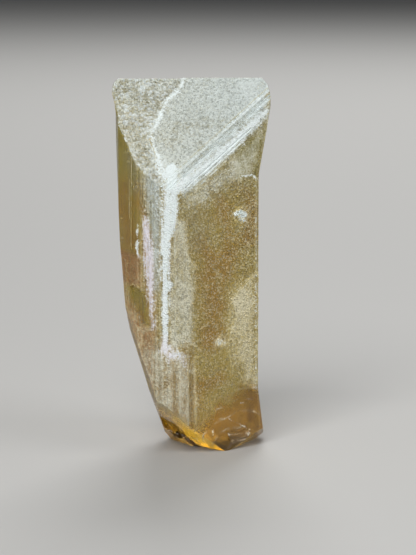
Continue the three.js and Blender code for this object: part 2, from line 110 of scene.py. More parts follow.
def closed_triangles(source):
    """The corners in mm and the triangles of a loose-triangle mesh, with its doubles merged."""
    shape = bmesh.new()
    shape.from_mesh(source)
    bmesh.ops.remove_doubles(shape, verts=shape.verts, dist=WELD_MM * MM)
    points = np.array([vertex.co for vertex in shape.verts]) / MM
    triangles = np.array([[vertex.index for vertex in face.verts] for face in shape.faces])
    print("the merged solid is closed:", all(edge.is_manifold for edge in shape.edges))
    shape.free()
    return points, triangles


def normals_and_areas(corners):
    """Each triangle's unit normal, and twice its area."""
    normals = np.cross(corners[:, 1] - corners[:, 0], corners[:, 2] - corners[:, 0])
    areas = np.linalg.norm(normals, axis=1)
    return normals / areas[:, None], areas


def sides_of(triangle):
    """The triangle's sides, each as the corners where it starts and ends."""
    return [(triangle[i], triangle[(i + 1) % 3]) for i in range(3)]


def flat_regions(points, triangles):
    """Groups triangles that touch and lie in one plane: normals, region numbers and neighbours."""
    corners = points[triangles]
    normals, areas = normals_and_areas(corners)
    beside = {side: i for i, triangle in enumerate(triangles.tolist()) for side in sides_of(triangle)}
    region_of = np.full(len(triangles), -1)
    planes = []
    for seed in np.argsort(-areas):
        if region_of[seed] >= 0:
            continue
        members = [seed]
        region_of[seed] = len(planes)
        for member in members:
            for start, end in sides_of(triangles[member].tolist()):
                other = beside[end, start]
                off_plane = np.abs((corners[other] - corners[seed, 0]) @ normals[seed]).max()
                in_plane = off_plane < FLATNESS_MM and normals[other] @ normals[seed] > SAME_WAY
                if region_of[other] < 0 and in_plane:
                    region_of[other] = len(planes)
                    members.append(other)
        planes.append(normals[seed])
    return planes, region_of, beside


corners, triangles = closed_triangles(solid.data)
planes, region_of, beside = flat_regions(corners, triangles)
print(len(triangles), "triangles lie in", len(planes), "flat regions")

# %% Divide the rims
# The steps are finer where the relief is coarse sugar, and longer at the back.
STEP_AT_TIP_MM = 0.22
STEP_IN_FRONT_MM = 0.25
STEP_BEHIND_MM = 0.37
TIP_FROM_MM = 44
BEHIND_FROM_MM = 1


def step_at(place):
    """How far apart the points are at this place, in mm."""
    if place[1] > BEHIND_FROM_MM:
        return STEP_BEHIND_MM
    return STEP_AT_TIP_MM if place[2] > TIP_FROM_MM else STEP_IN_FRONT_MM


def divided_rims(points, region_of, beside):
    """Adds points along the sides between regions. Returns each region's rim as pairs of points."""
    rims = [[] for _ in range(region_of.max() + 1)]
    chains = {}
    for (start, end), triangle in beside.items():
        if region_of[triangle] == region_of[beside[end, start]]:
            continue
        if (end, start) in chains:
            chain = chains[end, start][::-1]
        else:
            a, b = points[start], points[end]
            count = max(1, round(np.linalg.norm(b - a) / step_at((a + b) / 2)))
            first = len(points)
            points += [a + (b - a) * i / count for i in range(1, count)]
            chain = [start, *range(first, len(points)), end]
            chains[start, end] = chain
        rims[region_of[triangle]] += zip(chain[:-1], chain[1:])
    return rims


points = list(corners)
rims = divided_rims(points, region_of, beside)
print("the rims have", len(points), "points")

# %% Fill the regions
# How much of a step the points inside keep clear of the rim, and what the triangulation is told.
CLEAR_OF_RIM = 0.62
INSIDE_WITH_HOLES = 2
SAME_PLACE_MM = 1e-9


def tree_of(points):
    """A search tree that finds the nearest of these points."""
    tree = KDTree(len(points))
    for i, point in enumerate(points):
        tree.insert(point, i)
    tree.balance()
    return tree


def lattice(flat_rim, step):
    """Points of an even triangular lattice over the rim's box that keep clear of the rim."""
    low, high = flat_rim.min(axis=0), flat_rim.max(axis=0)
    columns = np.arange(low[0], high[0] + step, step)
    rows = np.arange(low[1], high[1] + step, step * math.sqrt(3) / 2)
    across, up = np.meshgrid(columns, rows)
    across[1::2] += step / 2
    inside = np.stack([across.ravel(), up.ravel()], axis=1)
    rim_tree = tree_of([(u, v, 0) for u, v in flat_rim])
    return inside[[rim_tree.find((u, v, 0))[2] > CLEAR_OF_RIM * step for u, v in inside]]


def fill_region(points, rim, normal):
    """Adds the points inside one region and returns its triangles."""
    used = sorted({point for pair in rim for point in pair})
    place = np.array([points[i] for i in used])
    start, end = max(rim, key=lambda pair: np.linalg.norm(points[pair[0]] - points[pair[1]]))
    across = points[end] - points[start]
    across -= normal * (across @ normal)
    across /= np.linalg.norm(across)
    up = np.cross(normal, across)
    middle = place.mean(axis=0)
    flat_rim = (place - middle) @ np.stack([across, up], axis=1)
    inside = lattice(flat_rim, step_at(middle))
    local = {point: i for i, point in enumerate(used)}
    flat = [Vector(p) for p in np.vstack([flat_rim, inside])]
    rim_sides = [(local[a], local[b]) for a, b in rim]
    joined = delaunay_2d_cdt(flat, rim_sides, [], INSIDE_WITH_HOLES, SAME_PLACE_MM)
    faces, origins = joined[2:4]
    numbers = used + list(range(len(points), len(points) + len(inside)))
    points += list(middle + inside[:, :1] * across + inside[:, 1:] * up)
    return [[numbers[origins[i][0]] for i in face] for face in faces]


fine = []
for rim, normal in zip(rims, planes):
    fine += fill_region(points, rim, normal)
print("the regions have", len(fine), "triangles")


# %% Join them into one mesh
def closed_mesh(points, triangles, name):
    """A mesh of the triangles and of the points they use, with the cracks along the rims filled."""
    kept, numbered = np.unique(np.array(triangles), return_inverse=True)
    shape = bmesh.new()
    corners = [shape.verts.new(p) for p in np.array(points)[kept] * MM]
    for triangle in numbered.reshape(-1, 3):
        shape.faces.new([corners[i] for i in triangle])
    cracks = [edge for edge in shape.edges if edge.is_boundary]
    closing = bmesh.ops.holes_fill(shape, edges=cracks)["faces"]
    bmesh.ops.triangulate(shape, faces=closing)
    mesh = bpy.data.meshes.new(name)
    odd_sides = sum(not edge.is_manifold for edge in shape.edges)
    shape.to_mesh(mesh)
    shape.free()
    print(name, "has", len(mesh.polygons), "triangles, and", odd_sides, "sides not between two")
    return mesh


# At the foot of one grain of the small druse, the broad face goes on beneath the grain, inside
# the crystal, so the sides round it lie on three triangles. It can't be seen.
crystal_mesh = closed_mesh(points, fine, "danburite")
crystal = bpy.data.objects.new("danburite", crystal_mesh)
bpy.context.scene.collection.objects.link(crystal)

# %% [markdown]
# ## Where each finish lies
#
# Frost, amber and rose lie on the crystal in streaks and patches. They could be painted, but a
# picture can't be resized or corrected in words. Here each mark is a stroke or an outline in mm
# across and up the crystal. Each point of the mesh gets a share of every finish, from how deep it
# lies in that finish's marks, and the material turns the shares into ragged edges.
# %% Measure the points
count = len(crystal_mesh.vertices)
place = np.empty(count * 3)
crystal_mesh.vertices.foreach_get("co", place)
place = place.reshape(-1, 3) / MM
facing = np.empty(count * 3)
crystal_mesh.vertex_normals.foreach_get("vector", facing)
facing = facing.reshape(-1, 3)
across, _, up = place.T
seen_flat = place[:, [0, 2]]
# 1 where the surface looks towards the camera's side, 0 where it looks away, and soft between.
front = np.clip(0.5 - 5 * facing[:, 1], 0, 1)
print("the points reach from", place.min(axis=0).round(2), "to", place.max(axis=0).round(2))


# %% Tools for marks
FAR_OUTSIDE_MM = -9.0


def inside_stroke(corners):
    """How deep each point lies in a stroke through (across, up, half width) corners, in mm."""
    depth = np.full(count, FAR_OUTSIDE_MM)
    for start, end in zip(corners[:-1], corners[1:]):
        a, b = np.array(start), np.array(end)
        along = (b - a)[:2]
        share = np.clip((seen_flat - a[:2]) @ along / (along @ along), 0, 1)
        gap = np.linalg.norm(seen_flat - a[:2] - share[:, None] * along, axis=1)
        depth = np.maximum(depth, a[2] + (b - a)[2] * share - gap)
    return depth


def inside_outline(outline):
    """How deep each point lies within a closed outline of (across, up) corners, in mm."""
    closed = [*outline, outline[0]]
    rim = -inside_stroke([(x, z, 0) for x, z in closed])
    crossings = np.zeros(count, int)
    for (xa, za), (xb, zb) in zip(closed[:-1], closed[1:]):
        reach = xa + (xb - xa) * (up - za) / (zb - za if zb != za else 1)
        crossings += ((za > up) != (zb > up)) & (across < reach)
    return np.where(crossings % 2 == 1, rim, -rim)


def mark(depth, strength, soft):
    """Turns a depth into a share from 0 to the strength, with an edge that is soft mm wide."""
    return strength * np.clip(0.5 + depth / soft, 0, 1)


def together(*marks):
    """The strongest of the marks at each point."""
    return np.maximum.reduce(marks)


def keep(name, values):
    """Stores a share per point, where the relief and the material can read it."""
    stored = crystal_mesh.attributes.new(name, "FLOAT", "POINT")
    stored.data.foreach_set("value", np.clip(values, 0, 1))
    print(name, "covers", round(100 * float(np.mean(values)), 1), "% of the points")


# %% [markdown]
# ## Bruised edges
#
# The sharp edges were knocked in the ground, so a thin pale line runs along them, and the same
# line is also a painted highlight on the edges. The Geometry node's Pointiness shows edges too,
# but it depends on how fine the mesh is. Here the solid's sharp outward edges are found, and each
# point's distance to them gives a line of a true width.
# %% Find the sharp edges
EDGE_TURN = math.radians(24)
EDGE_SPACING_MM = 0.2
BRUISE_AND_HIGHLIGHT_REACH_MM = 0.15
BRUISE_AND_HIGHLIGHT_SOFTNESS_MM = 0.5


def edge_points(points, beside, triangles):
    """Points along the solid's outward edges that are sharp, in mm."""
    corners = points[triangles]
    normals, _ = normals_and_areas(corners)
    middles = corners.mean(axis=1)
    found = []
    for (start, end), one in beside.items():
        other = beside[end, start]
        sharp = normals[one] @ normals[other] < math.cos(EDGE_TURN)
        outward = normals[one] @ (middles[other] - middles[one]) < 0
        if start < end and sharp and outward:
            side = points[end] - points[start]
            steps = max(2, int(np.linalg.norm(side) / EDGE_SPACING_MM))
            found += [points[start] + side * i / steps for i in range(steps + 1)]
    return found


edge_tree = tree_of(edge_points(corners, beside, triangles))
from_edge = np.array([edge_tree.find(p)[2] for p in place])
# The pale line along the sharp edges: worn frost, and also a painted highlight.
rim = mark(BRUISE_AND_HIGHLIGHT_REACH_MM - from_edge, 1, BRUISE_AND_HIGHLIGHT_SOFTNESS_MM)
keep("rim", rim)

# %% [markdown]
# ## White frost
#
# Where the etching went deepest, along seams, ribs and ledges, the frost is a white crust with a
# ragged rim. It could be a second skin over the crystal, but a skin this thin would cut through
# the faces, so it is a finish of the same surface. Its marks follow the lines where it lies. On the
# front bevel and along the shoulder the white is also a painted reflection of the key light, and on
# the clear foot its thin lines are painted glints.
# %% White frost on the tip
dome_seam = [
    (-1.2, 62.5, 0.45), (-2.5, 60.5, 0.5), (-4.2, 59.3, 0.5), (-5.2, 56.6, 0.55), (-6.5, 54.1, 0.4),
    (-6.0, 51.5, 0.35), (-5.1, 50.5, 0.45),
]
dome_blob = [
    (-5.8, 51.0), (-4.6, 50.3), (-3.6, 49.3), (-3.0, 48.2), (-2.2, 46.6), (-5.0, 46.0), (-6.0, 48.5),
]
# The shoulder's white lines are white frost, and partly a painted reflection of the key light.
shoulder_lines_and_highlight = [
    [(-2.5, 48.2, 0.35), (1.5, 51.2, 0.3), (7.3, 56.1, 0.3), (12.8, 60.8, 0.3)],
    [(-2.1, 47.0, 0.3), (2.3, 50.4, 0.3), (8.1, 55.5, 0.3), (12.7, 59.2, 0.3)],
    [(-2.1, 45.4, 1.0), (1.5, 48.1, 1.1), (5.6, 51.4, 1.1), (9.8, 55.0, 0.95), (12.7, 57.6, 0.7)],
]
shoulder_striae = [
    [(-1.3, 45.3, 0.15), (4.0, 48.7, 0.15), (9.8, 52.8, 0.1)],
    [(1.5, 44.6, 0.12), (4.0, 46.5, 0.12), (7.3, 49.6, 0.1)],
    [(0.7, 42.6, 0.1), (3.5, 44.6, 0.12), (6.5, 47.2, 0.1)],
]
veins = [
    [(0.6, 61.4, 0.16), (2.3, 60.4, 0.2), (3.6, 59.7, 0.2)],
    [(-0.2, 56.5, 0.16), (0.0, 55.2, 0.2), (0.2, 54.0, 0.16)],
    [(4.1, 62.4, 0.16), (4.5, 60.8, 0.2), (3.1, 59.6, 0.16)],
]
white_tip = together(
    mark(inside_stroke(dome_seam), 0.8, 1.2),
    mark(inside_outline(dome_blob), 0.66, 1.4),
    mark(inside_stroke(shoulder_lines_and_highlight[0]), 0.72, 0.9),
    mark(inside_stroke(shoulder_lines_and_highlight[1]), 0.68, 0.7),
    mark(inside_stroke(shoulder_lines_and_highlight[2]), 0.9, 1.8),
    *[mark(inside_stroke(line), 0.45, 0.3) for line in shoulder_striae],
    *[mark(inside_stroke(line), 0.6, 0.7) for line in veins],
)
print("the tip has white frost on", np.count_nonzero(white_tip * front), "points")

# %% White frost down the left side
# The white band down the front bevel and its halo are white frost, and partly a painted reflection of
# the key light.
white_band_and_highlight = [
    (-3.2, 48.6, 1.0), (-3.1, 45.4, 1.2), (-3.3, 41.3, 1.25), (-3.6, 39.8, 1.15), (-4.2, 37.1, 0.95),
    (-4.2, 33.7, 0.75), (-4.3, 30.4, 0.7), (-3.8, 29.6, 1.0), (-4.3, 28.4, 0.65), (-4.3, 23.7, 0.6),
    (-4.3, 18.4, 0.5),
]
band_halo_and_highlight = [(-4.4, 47.0, 1.0), (-4.6, 41.0, 1.1), (-5.0, 36.0, 0.6), (-5.0, 30.0, 0.4)]
left_ledge = [
    (-7.9, 42.2, 0.1), (-7.3, 38.5, 0.85), (-6.9, 32.5, 1.0), (-6.7, 26.9, 0.75), (-6.4, 22.0, 0.4),
]
flakes = [
    [(-8.7, 39.4, 0.15), (-8.9, 38.3, 0.35), (-8.8, 37.2, 0.15)],
    [(-8.8, 36.7, 0.25), (-9.0, 35.8, 0.4), (-8.9, 34.6, 0.2), (-8.5, 33.8, 0.3)],
]
low_patch = [
    (-5.6, 18.4), (-4.4, 20.6), (-1.6, 19.0), (-0.1, 16.8), (-0.5, 14.2), (-2.0, 16.4), (-4.2, 16.6),
]
white_left = together(
    mark(inside_stroke(white_band_and_highlight), 1, 1.1),
    mark(inside_stroke(band_halo_and_highlight), 0.66, 2.6),
    mark(inside_stroke(left_ledge), 0.8, 1.2),
    *[mark(inside_stroke(line), 0.8, 0.6) for line in flakes],
    mark(inside_outline(low_patch), 0.64, 2),
)
print("the left side has white frost on", np.count_nonzero(white_left * front), "points")

# %% White frost on the broad face and the foot
druse = [(7.5, 40.6, 0.5), (8.3, 40.9, 0.45), (8.9, 40.3, 0.55), (8.2, 39.7, 0.45), (8.9, 39.3, 0.3)]
crust_spot = [(4.7, 19.2, 0.75), (5.2, 18.9, 0.7)]
arc = [(7.0, 46.4, 0.12), (8.6, 46.8, 0.16), (10.2, 46.9, 0.18), (10.8, 46.3, 0.25)]
right_edge = [(10.8, 46.3, 0.2), (10.9, 34.1, 0.18), (10.9, 16.9, 0.16), (11.0, 9.0, 0.12)]
# Thin painted glints along the clear break's edges and arcs, and one painted bright spot.
foot_glints = [
    [(3.6, 5.9, 0.1), (6.2, 5.7, 0.16), (9.1, 3.7, 0.16), (10.8, 2.5, 0.1)],
    [(8.4, 8.1, 0.16), (9.4, 7.9, 0.16)],
    [(3.6, 3.9, 0.2), (3.6, 3.1, 0.2)],
    [(-4.1, 2.4, 0.16), (-2.3, 1.7, 0.16), (0.9, 1.6, 0.12)],
]
foot_flake = [(5.5, 3.4), (6.2, 2.4), (10.2, 2.1), (9.8, 3.3), (8.0, 3.1)]
white_right = together(
    mark(inside_stroke(druse), 0.8, 0.5),
    mark(inside_stroke(crust_spot), 0.5, 0.8),
    mark(inside_stroke(arc), 0.8, 0.4),
    mark(inside_stroke(right_edge), 0.6, 0.5),
    *[mark(inside_stroke(line), 0.6, 0.3) for line in foot_glints],
    mark(inside_outline(foot_flake), 0.5, 0.8),
)
BACK_RIM_FROST_AND_HIGHLIGHT = 0.62
white = together(white_tip, white_left, white_right)
# At the back, the white lies thick only on the rims of the tip, from 40 mm up, as frost and a painted
# highlight on the edges.
rim_frost_and_highlight_on_back_tip = BACK_RIM_FROST_AND_HIGHLIGHT * rim * np.interp(up, (40, 46), (0, 1))
keep("white", white * front + rim_frost_and_highlight_on_back_tip * (1 - front))

# %% [markdown]
# ## Thinner frost
#
# The dome and parts of the sides carry a thinner veil. One pattern of noise could spread it, but
# the real veil follows the faces and their steps, so it has outlines with soft edges. In the cool
# places the frost looks bluish grey, and elsewhere it looks like cream. The veil is also a painted
# glow down the right side, and a patch on the dome where it is thinner is painted shade.
# %% The dome and its coarse sugar
DOME_FROM_MM = 44
# High up, only the faces of the tip look this far upwards. The coarse sugar lies on the front
# one, to the left of the seam that runs down it.
dome = np.clip((facing[:, 2] - 0.35) / 0.1, 0, 1) * (up > DOME_FROM_MM)
seam_across = np.interp(up, *np.array([(z, x) for x, z, _ in dome_seam[::-1]]).T)
sugar = dome * front * mark(seam_across - across, 1, 1)
print("the dome covers", round(100 * float(np.mean(dome)), 1), "% of the points")

# %% Where thinner frost lies
shoulder_band = [(-2.8, 48.6), (12.9, 61.5), (12.9, 56.2), (10.0, 53.2), (4.0, 48.0), (-1.2, 43.6)]
below_shoulder = [
    (-1.2, 45.0), (-1.0, 41.5), (3.0, 42.6), (7.0, 45.6), (10.8, 46.6), (12.2, 52.0), (12.9, 56.2),
    (4.0, 48.0),
]
frost_strip = [
    (-2.6, 41.0), (-0.8, 40.3), (-0.2, 36.9), (0.6, 30.0), (0.5, 23.3), (0.6, 19.0), (-3.8, 19.0),
    (-4.0, 28.0), (-3.6, 37.0),
]
pale_plate = [
    (6.2, 26.0), (7.3, 27.3), (9.0, 29.5), (11.1, 30.2), (11.1, 11.2), (9.1, 12.3), (7.5, 14.8),
    (6.5, 18.4),
]
lower_frost = [
    (-8.0, 17.5), (-6.4, 19.4), (-5.0, 20.5), (-3.0, 20.0), (-1.8, 18.0), (-0.4, 19.6), (0.3, 13.0),
    (0.4, 6.3), (-0.2, 5.5), (-3.9, 7.6), (-6.4, 8.6),
]
rose_break = [
    (-11.4, 28.6), (-8.2, 22.6), (-6.0, 22.0), (-5.8, 17.0), (-6.2, 9.0), (-5.6, 7.6), (-8.5, 14.0),
    (-11.2, 22.0),
]
left_grainy = [(-6.2, 47.5, 1.6), (-6.0, 42.0, 1.4), (-5.8, 36.5, 0.8), (-5.8, 29.0, 0.7)]
left_haze = [(-9.6, 50.5, 0.6), (-8.8, 45.5, 0.6)]
# The right glow is a painted glow of light down the right side, laid on as a pale veil.
right_glow = [(9.6, 44.0, 1.0), (9.8, 20.0, 1.4)]
pale_spots = [crust_spot, [(7.6, 25.6, 1.0), (8.6, 26.6, 0.8)]]
dome_clouds = [
    [(3.0, 62.2, 1.0), (4.2, 58.5, 1.6), (2.0, 55.5, 1.2), (0.5, 52.5, 0.7)],
    [(7.5, 60.8, 1.2), (11.8, 61.4, 1.0)],
]
# A patch of painted shade on the dome, below its bright clouds, where the veil is made thinner.
dome_shade_patch = [(-3.8, 52.8, 1.0), (-2.2, 54.6, 1.4), (0.5, 55.6, 0.8)]
soft_grooves = [
    [(-2.9, 16.5, 0.25), (-2.8, 7.0, 0.3)],
    [(0.3, 18.0, 0.2), (0.3, 6.0, 0.3)],
]
print("the pale plate holds", np.count_nonzero(inside_outline(pale_plate) > 0), "points")

# %% Lay the veils
veil = together(
    mark(inside_outline(shoulder_band), 0.82, 1.6) * front,
    mark(inside_outline(below_shoulder), 0.66, 3) * front,
    mark(inside_outline(frost_strip), 0.8, 1.4) * front,
    mark(inside_outline(pale_plate), 0.85, 3) * front,
    mark(inside_outline(lower_frost), 0.62, 3) * front,
    mark(inside_outline(rose_break), 0.5, 2) * front,
    mark(inside_stroke(left_grainy), 0.6, 1.4) * front,
    *[mark(inside_stroke(spot), 0.95, 1) * front for spot in pale_spots],
    dome * (1 - 0.4 * sugar),
    *[dome * mark(inside_stroke(cloud), 1, 2.5) for cloud in dome_clouds],
    mark(inside_stroke(right_glow), 0.4, 3) * front,
    mark(inside_stroke(left_haze), 0.4, 3) * front,
    (1 - front) * np.interp(up, (25, 50), (0.2, 0.5)),
)
grooves = together(*[mark(inside_stroke(groove), 0.75, 0.9) for groove in soft_grooves])
painted_dome_shade = mark(inside_stroke(dome_shade_patch), 0.2, 3)
keep("veil", veil * (1 - grooves * front) * (1 - painted_dome_shade * front))

# %% Cool places, and the way the striae run
BROAD_FACE = np.array([0.521, -0.854, 0])
below_fork = [(-0.5, 43.0, 2.0), (1.0, 37.0, 1.5)]
cool = together(
    mark(inside_stroke(below_fork), 0.5, 4) * front,
    mark(inside_outline(shoulder_band), 1, 2) * front,
    mark(inside_stroke(left_grainy), 1, 1.5) * front,
    mark(inside_stroke(left_haze), 0.8, 3) * front,
    mark(inside_stroke(white_band_and_highlight), 0.8, 1) * front,
    mark(inside_outline(lower_frost), 0.4, 2) * front,
    mark(inside_outline(frost_strip), 0.4, 2) * front,
    mark(inside_outline(below_shoulder), 0.5, 3) * front,
    dome * (0.88 + 0.01 * across) * (0.6 + 0.4 * front),
)
keep("cool", cool)
keep("sugar", sugar)
keep("slanted", mark(inside_outline(shoulder_band), 1, 1.2) * front)
# The striae are clear on the sides, weaker at the back and on the broad face, and missing on top.
broad_face = np.clip(2.5 * (facing @ BROAD_FACE) - 1.9, 0, 1)
not_on_top = np.clip(1.5 - 2.5 * facing[:, 2], 0, 1)
keep("upright", not_on_top * (1 - 0.85 * broad_face) * (0.45 + 0.55 * front))

# %% [markdown]
# ## Clear, smooth and stained places
#
# The broken foot is clear, some grown faces are smooth, and the body is stained amber and rose.
# A pattern in the volume could stain the inside, but the export keeps only one colour there, so
# the stains tint the surface that the light comes through.
# %% The clear foot
frost_foot_front = [
    (-13.0, 9.0), (-5.4, 8.0), (-3.9, 7.6), (-0.2, 5.5), (1.5, 5.3), (2.6, 5.9), (3.5, 6.7), (4.0, 8.1),
    (4.8, 8.7), (6.9, 9.1), (8.2, 11.0), (11.3, 11.0), (14.0, 9.5),
]
frost_foot_back = [(-14.0, 7.5), (-6.0, 9.5), (0.0, 6.5), (5.0, 5.0), (9.0, 8.5), (14.0, 9.5)]
foot_front = np.interp(across, *np.array(frost_foot_front).T)
foot_back = np.interp(across, *np.array(frost_foot_back).T)
foot_line = foot_back + (foot_front - foot_back) * front
# The frost thins out over 5 mm around this line, and the break below it is clear.
keep("clear", mark(foot_line - up, 1, 5))

# %% Smooth places
smooth_left = [(-13.3, 58.6), (-12.3, 58.0), (-8.5, 48.0), (-8.4, 36.0), (-8.7, 33.5), (-13.3, 33.5)]
smooth_triangle = [(7.6, 52.2), (9.8, 53.4), (12.6, 54.4), (11.6, 46.6), (7.3, 46.3)]
window = [(-10.0, 28.4), (-7.3, 28.0), (-7.0, 22.6), (-8.5, 22.6), (-9.8, 25.0)]
left_furrow = [(-8.9, 46.5, 0.5), (-8.4, 40.0, 0.4)]
dome_corner = [(7.6, 62.6), (13.4, 62.8), (12.4, 60.8), (9.4, 58.6)]
smooth = together(
    mark(inside_outline(smooth_left), 1, 1),
    mark(inside_outline(smooth_triangle), 1, 1.6),
    mark(inside_outline(window), 1, 0.6),
    mark(inside_stroke(left_furrow), 0.85, 1.4),
    mark(inside_outline(dome_corner), 0.5, 1.5),
)
keep("smooth", smooth * front + 0.25 * (1 - front))

# %% Amber places
amber_zones = [
    [(2.3, 36.6, 1.2), (4.0, 26.3, 1.6), (3.1, 19.6, 1.5)],
    [(5.6, 42.0, 1.0), (6.1, 34.5, 1.2), (5.1, 27.9, 1.4)],
    [(9.6, 44.0, 1.0), (9.6, 36.0, 0.8)],
    [(1.5, 12.1, 1.0), (4.0, 12.6, 1.0)],
    [(-11.4, 41.0, 1.6), (-10.2, 36.5, 1.8)],
    [(-11.2, 46.0, 0.4), (-11.0, 40.0, 1.8)],
    [(-9.0, 26.0, 0.8), (-8.4, 24.0, 0.8)],
    [(-8.9, 46.0, 0.3), (-8.5, 41.0, 0.3)],
]
amber = together(*[mark(inside_stroke(zone), 0.8, 3) for zone in amber_zones])
keep("amber", amber * front + 0.35 * (1 - front))

# %% Rose places
rose_patch = [(-12.4, 34.6), (-8.4, 34.0), (-8.2, 29.0), (-12.0, 28.6)]
rose_spot = [(-3.9, 1.5, 0.4), (-3.4, 1.2, 0.4)]
rose = together(
    mark(inside_stroke(left_ledge), 0.6, 1),
    mark(inside_outline(lower_frost), 0.5, 3),
    mark(inside_outline(rose_break), 0.8, 1.4),
    mark(inside_outline(rose_patch), 0.8, 1.2),
    mark(inside_stroke(rose_spot), 0.8, 0.5),
)
keep("rose", rose * front)

# %% [markdown]
# ## The etched relief
#
# Weak acids in the ground ate small hillocks into the grown faces, and growth left fine striae
# that run up the sides. A displaced subdivision could do that, but Geometry Nodes can read the
# finishes stored above, so the clear break stays smooth and the tip gets its coarse sugar. All
# points only move inwards, so the crystal keeps its size.
# %% A tool for nodes
MATHS = "ShaderNodeMath"
VECTORS = "ShaderNodeVectorMath"
# The striae run up the sides, and along the shoulder band. Along them, a pattern keeps only this
# share of its change, so it is drawn out into streaks.
UPRIGHT = (0, 0, 1)
SHOULDER = (0.688, 0.42, 0.592)
LEFT_ALONG = 0.03


def add(tree, kind, inputs=None, **settings):
    """Adds a node. An input takes a value, a socket, or a node, for its first live output."""
    node = tree.nodes.new(kind)
    for name, value in settings.items():
        setattr(node, name, value)
    for name, value in (inputs or {}).items():
        if isinstance(value, bpy.types.Node):
            value = next(socket for socket in value.outputs if socket.enabled)
        if isinstance(value, bpy.types.NodeSocket):
            tree.links.new(value, node.inputs[name])
        else:
            node.inputs[name].default_value = value
    return node


def squeezed(tree, position, direction):
    """The position with its part along a direction squeezed, which draws a pattern out that way."""
    along = add(tree, VECTORS, {0: position, 1: direction}, operation="DOT_PRODUCT")
    part = add(tree, VECTORS, {0: direction, "Scale": along}, operation="SCALE")
    less = add(tree, VECTORS, {0: part, "Scale": LEFT_ALONG - 1}, operation="SCALE")
    return add(tree, VECTORS, {0: position, 1: less}, operation="ADD")


print("streaks are", round(1 / LEFT_ALONG), "times as long as they are wide")

# %% Name the sizes of the relief
SEED = 7.0
relief = bpy.data.node_groups.new("etched relief", "GeometryNodeTree")
relief.interface.new_socket("Geometry", in_out="INPUT", socket_type="NodeSocketGeometry")
RELIEF_SIZES = {
    "Hillock width": 1.3 * MM,
    "Hillock depth": 0.07 * MM,
    "Sugar width": 0.55 * MM,
    "Sugar depth": 0.16 * MM,
    "Stria width": 0.5 * MM,
    "Stria depth": 0.06 * MM,
}
for name in [*RELIEF_SIZES, "Seed"]:
    relief.interface.new_socket(name, in_out="INPUT", socket_type="NodeSocketFloat")
relief.interface.new_socket("Finish", in_out="INPUT", socket_type="NodeSocketMaterial")
relief.interface.new_socket("Geometry", in_out="OUTPUT", socket_type="NodeSocketGeometry")
print("the relief takes", [socket.name for socket in relief.interface.items_tree])

# %% Draw its waves
given = add(relief, "NodeGroupInput").outputs
position = add(relief, "GeometryNodeInputPosition")
kept = {
    name: add(relief, "GeometryNodeInputNamedAttribute", {"Name": name}, data_type="FLOAT")
    for name in ("clear", "smooth", "sugar", "upright", "slanted")
}
WAVES = {
    "hillocks": ("Hillock width", position),
    "sugar": ("Sugar width", position),
    "upright": ("Stria width", squeezed(relief, position, UPRIGHT)),
    "slanted": ("Stria width", squeezed(relief, position, SHOULDER)),
}
waves = {}
for name, (width, at) in WAVES.items():
    waves_per_metre = add(relief, MATHS, {0: 1, 1: given[width]}, operation="DIVIDE")
    waves[name] = add(relief, "ShaderNodeTexNoise", {
        "Vector": at, "W": given["Seed"], "Scale": waves_per_metre, "Detail": 2,
    }, noise_dimensions="4D")
print("the relief has", len(waves), "patterns of waves")

# %% Press them into the surface
polished = add(relief, MATHS, {0: kept["clear"], 1: kept["smooth"]}, operation="MAXIMUM")
frosted = add(relief, MATHS, {0: 1, 1: polished}, operation="SUBTRACT")
striae = add(relief, MATHS, {0: waves["upright"], 1: kept["upright"]}, operation="MULTIPLY")
striae = add(relief, MATHS, {
    0: waves["slanted"], 1: kept["slanted"], 2: striae,
}, operation="MULTIPLY_ADD")
depth = add(relief, MATHS, {0: waves["hillocks"], 1: given["Hillock depth"]}, operation="MULTIPLY")
depth = add(relief, MATHS, {0: striae, 1: given["Stria depth"], 2: depth}, operation="MULTIPLY_ADD")
depth = add(relief, MATHS, {0: depth, 1: frosted}, operation="MULTIPLY")
sugar_depth = add(relief, MATHS, {0: kept["sugar"], 1: given["Sugar depth"]}, operation="MULTIPLY")
depth = add(relief, MATHS, {0: waves["sugar"], 1: sugar_depth, 2: depth}, operation="MULTIPLY_ADD")
inwards = add(relief, MATHS, {0: depth, 1: -1}, operation="MULTIPLY")
normal = add(relief, "GeometryNodeInputNormal")
pressed = add(relief, VECTORS, {0: normal, "Scale": inwards}, operation="SCALE")
etched = add(relief, "GeometryNodeSetPosition", {"Geometry": given["Geometry"], "Offset": pressed})
realized = add(relief, "GeometryNodeRealizeInstances", {"Geometry": etched})
finished = add(relief, "GeometryNodeSetMaterial", {"Geometry": realized, "Material": given["Finish"]})
add(relief, "NodeGroupOutput", {"Geometry": finished})
print("the relief tree has", len(relief.nodes), "nodes")

# %% [markdown]
# ## The finish of danburite
#
# Danburite is clear, like glass of high index (IOR 1.63), and iron stains it honey yellow inside.
# Its etched faces scatter light, so they look frosted, and where the frost is thick it is white
# and hides the body. The break at the foot is glassy. A clear and a frosted material would meet in
# a hard line, so one material does it all: a see-through shader, whose colour is laid on from the
# inside out by the shares stored above. The real grain is 0.15 to 0.3 mm wide, so the cells are
# 0.24 mm, about a pixel and a half, and those of the coarse sugar are twice as wide.
# %% Colours
def linear(colour):
    """An sRGB hex colour as linear red, green, blue and alpha."""
    parts = [int(colour[i:i + 2], 16) / 255 for i in (1, 3, 5)]
    return [c / 12.92 if c <= 0.04045 else ((c + 0.055) / 1.055) ** 2.4 for c in parts] + [1]


